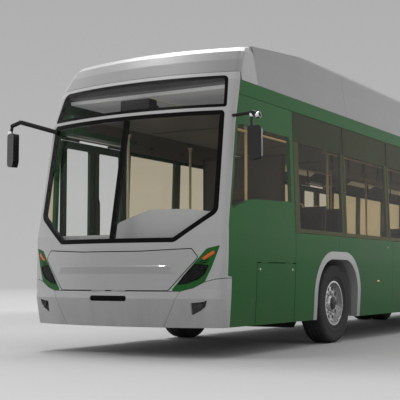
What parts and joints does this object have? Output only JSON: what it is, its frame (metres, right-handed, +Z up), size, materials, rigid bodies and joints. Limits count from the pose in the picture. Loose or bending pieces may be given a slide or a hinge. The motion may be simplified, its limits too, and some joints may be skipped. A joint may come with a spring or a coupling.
{
  "type": "low-floor city bus",
  "caption": "Two-axle low-floor city bus with a domed front, flush side glass, twin rear wheels, steered front wheels and two inward-gliding double doors.",
  "frame": {"origin": "on the road, at the middle of the bus length and width", "axes": "+Z up, -Y towards the front of the bus, +X towards its left, the driver's side"},
  "size_m": [3.1808, 13.194, 3.6249],
  "materials": {
    "green_paint": "gloss",
    "grey_paint": "gloss",
    "black_trim": "matt",
    "dark_green_trim": "gloss",
    "glass": "clear",
    "door_frame": "satin",
    "steel": "satin",
    "iron": "rough",
    "rim_paint": "satin",
    "tyre": "matt",
    "plastic": "matt",
    "board": "matt",
    "liner": "satin",
    "pole": "gloss",
    "lamp_red": "gloss"
  },
  "bodies": {
    "body": {"arch_lips": "grey_paint", "battery_block": "steel", "bumpers": "grey_paint", "cab_sides": "green_paint", "cantrails": "green_paint", "ceiling": "liner", "chassis_rails": "steel", "dashboard": "plastic", "door_gear": "black_trim", "driver_partition": "board", "engine_block": "iron", "floor": "board", "front_axle_beam": "iron", "front_bulkhead": "black_trim", "front_glass": "glass", "front_glass_frames": "black_trim", "front_mask": "grey_paint", "grab_poles": "pole", "headlamp_lenses": "glass", "headlamps": "green_paint", "mirrors": "black_trim", "rear_axle": "iron", "rear_mask": "green_paint", "roof_fairings": "grey_paint", "roof_panel": "liner", "seats": "plastic", "side_and_rear_glass": "glass", "skirt_panels": "green_paint", "tail_lamps": "lamp_red", "wheel_housings": "black_trim", "window_pillars": "dark_green_trim", "window_sills": "dark_green_trim"},
    "left_knuckle": {"left_knuckle": "iron"},
    "right_knuckle": {"right_knuckle": "iron"},
    "front_left_wheel": {"front_left_tyre": "tyre", "front_left_rim": "rim_paint"},
    "front_right_wheel": {"front_right_tyre": "tyre", "front_right_rim": "rim_paint"},
    "rear_left_wheels": {"rear_left_tyres": "tyre", "rear_left_rims": "rim_paint"},
    "rear_right_wheels": {"rear_right_tyres": "tyre", "rear_right_rims": "rim_paint"},
    "tie_rod": {"tie_rod": "steel"},
    "steering_wheel": {"steering_wheel": "plastic"},
    "bonnet_flap": {"bonnet_flap": "grey_paint"},
    "service_hatch": {"service_hatch": "green_paint"},
    "engine_lid": {"engine_lid": "green_paint"},
    "front_door_a_arm": {"front_door_a_arm": "steel"},
    "front_door_a_leaf": {"front_door_a_leaf": "door_frame", "front_door_a_glass": "glass"},
    "front_door_b_arm": {"front_door_b_arm": "steel"},
    "front_door_b_leaf": {"front_door_b_leaf": "door_frame", "front_door_b_glass": "glass"},
    "mid_door_a_arm": {"mid_door_a_arm": "steel"},
    "mid_door_a_leaf": {"mid_door_a_leaf": "door_frame", "mid_door_a_glass": "glass"},
    "mid_door_b_arm": {"mid_door_b_arm": "steel"},
    "mid_door_b_leaf": {"mid_door_b_leaf": "door_frame", "mid_door_b_glass": "glass"}
  },
  "joints": [
    {"name": "steer_left", "type": "hinge", "parent": "body", "child": "left_knuckle", "pos_m": [0.87, -3.295, 0.51], "axis": [0, 0, 1], "range_deg": [-42, 42]},
    {"name": "steer_right", "type": "hinge", "parent": "body", "child": "right_knuckle", "pos_m": [-0.87, -3.295, 0.51], "axis": [0, 0, 1], "range_deg": [-42, 42]},
    {"name": "tie_rod_end", "type": "hinge", "parent": "left_knuckle", "child": "tie_rod", "pos_m": [0.87, -3.067, 0.268], "axis": [0, 0, 1], "range_deg": [-42, 42]},
    {"name": "steering_wheel_turn", "type": "hinge", "parent": "body", "child": "steering_wheel", "pos_m": [0.56, -5.48, 1.24], "axis": [0, 0.4695, 0.8829], "range_deg": [-756, 756]},
    {"name": "front_left_wheel_spin", "type": "hinge", "parent": "left_knuckle", "child": "front_left_wheel", "pos_m": [1.0635, -3.295, 0.51], "axis": [1, 0, 0], "continuous": true},
    {"name": "front_right_wheel_spin", "type": "hinge", "parent": "right_knuckle", "child": "front_right_wheel", "pos_m": [-1.0635, -3.295, 0.51], "axis": [1, 0, 0], "continuous": true},
    {"name": "rear_left_wheels_spin", "type": "hinge", "parent": "body", "child": "rear_left_wheels", "pos_m": [0.898, 3.455, 0.51], "axis": [1, 0, 0], "continuous": true},
    {"name": "rear_right_wheels_spin", "type": "hinge", "parent": "body", "child": "rear_right_wheels", "pos_m": [-0.898, 3.455, 0.51], "axis": [1, 0, 0], "continuous": true},
    {"name": "front_door_a_open", "type": "hinge", "parent": "body", "child": "front_door_a_arm", "pos_m": [-1.2, -5.903, 2.509], "axis": [0, 0, -1], "range_deg": [0, 88]},
    {"name": "front_door_a_leaf_turn", "type": "hinge", "parent": "front_door_a_arm", "child": "front_door_a_leaf", "pos_m": [-1.2, -5.5915, 2.505], "axis": [0, 0, -1], "range_deg": [-176, 0]},
    {"name": "front_door_b_open", "type": "hinge", "parent": "body", "child": "front_door_b_arm", "pos_m": [-1.2, -4.647, 2.509], "axis": [0, 0, 1], "range_deg": [0, 88]},
    {"name": "front_door_b_leaf_turn", "type": "hinge", "parent": "front_door_b_arm", "child": "front_door_b_leaf", "pos_m": [-1.2, -4.9585, 2.505], "axis": [0, 0, 1], "range_deg": [-176, 0]},
    {"name": "mid_door_a_open", "type": "hinge", "parent": "body", "child": "mid_door_a_arm", "pos_m": [-1.2, 0.867, 2.509], "axis": [0, 0, -1], "range_deg": [0, 88]},
    {"name": "mid_door_a_leaf_turn", "type": "hinge", "parent": "mid_door_a_arm", "child": "mid_door_a_leaf", "pos_m": [-1.2, 1.1835, 2.505], "axis": [0, 0, -1], "range_deg": [-176, 0]},
    {"name": "mid_door_b_open", "type": "hinge", "parent": "body", "child": "mid_door_b_arm", "pos_m": [-1.2, 2.143, 2.509], "axis": [0, 0, 1], "range_deg": [0, 88]},
    {"name": "mid_door_b_leaf_turn", "type": "hinge", "parent": "mid_door_b_arm", "child": "mid_door_b_leaf", "pos_m": [-1.2, 1.8265, 2.505], "axis": [0, 0, 1], "range_deg": [-176, 0]},
    {"name": "bonnet_flap_open", "type": "hinge", "parent": "body", "child": "bonnet_flap", "pos_m": [0, -6.578, 0.7005], "axis": [1, 0, 0], "range_deg": [0, 75]},
    {"name": "service_hatch_open", "type": "hinge", "parent": "body", "child": "service_hatch", "pos_m": [1.27, -5.09, 1.005], "axis": [0, -1, 0], "range_deg": [0, 80]},
    {"name": "engine_lid_open", "type": "hinge", "parent": "body", "child": "engine_lid", "pos_m": [0, 6.588, 1.505], "axis": [1, 0, 0], "range_deg": [0, 75]}
  ],
  "couplings": [
    {"joint": "steer_right", "follows": "steer_left", "ratio": 1},
    {"joint": "tie_rod_end", "follows": "steer_left", "ratio": -1},
    {"joint": "steering_wheel_turn", "follows": "steer_left", "ratio": 18},
    {"joint": "front_door_a_leaf_turn", "follows": "front_door_a_open", "ratio": -2},
    {"joint": "front_door_b_open", "follows": "front_door_a_open", "ratio": 1},
    {"joint": "front_door_b_leaf_turn", "follows": "front_door_a_open", "ratio": -2},
    {"joint": "mid_door_a_leaf_turn", "follows": "mid_door_a_open", "ratio": -2},
    {"joint": "mid_door_b_open", "follows": "mid_door_a_open", "ratio": 1},
    {"joint": "mid_door_b_leaf_turn", "follows": "mid_door_a_open", "ratio": -2}
  ]
}
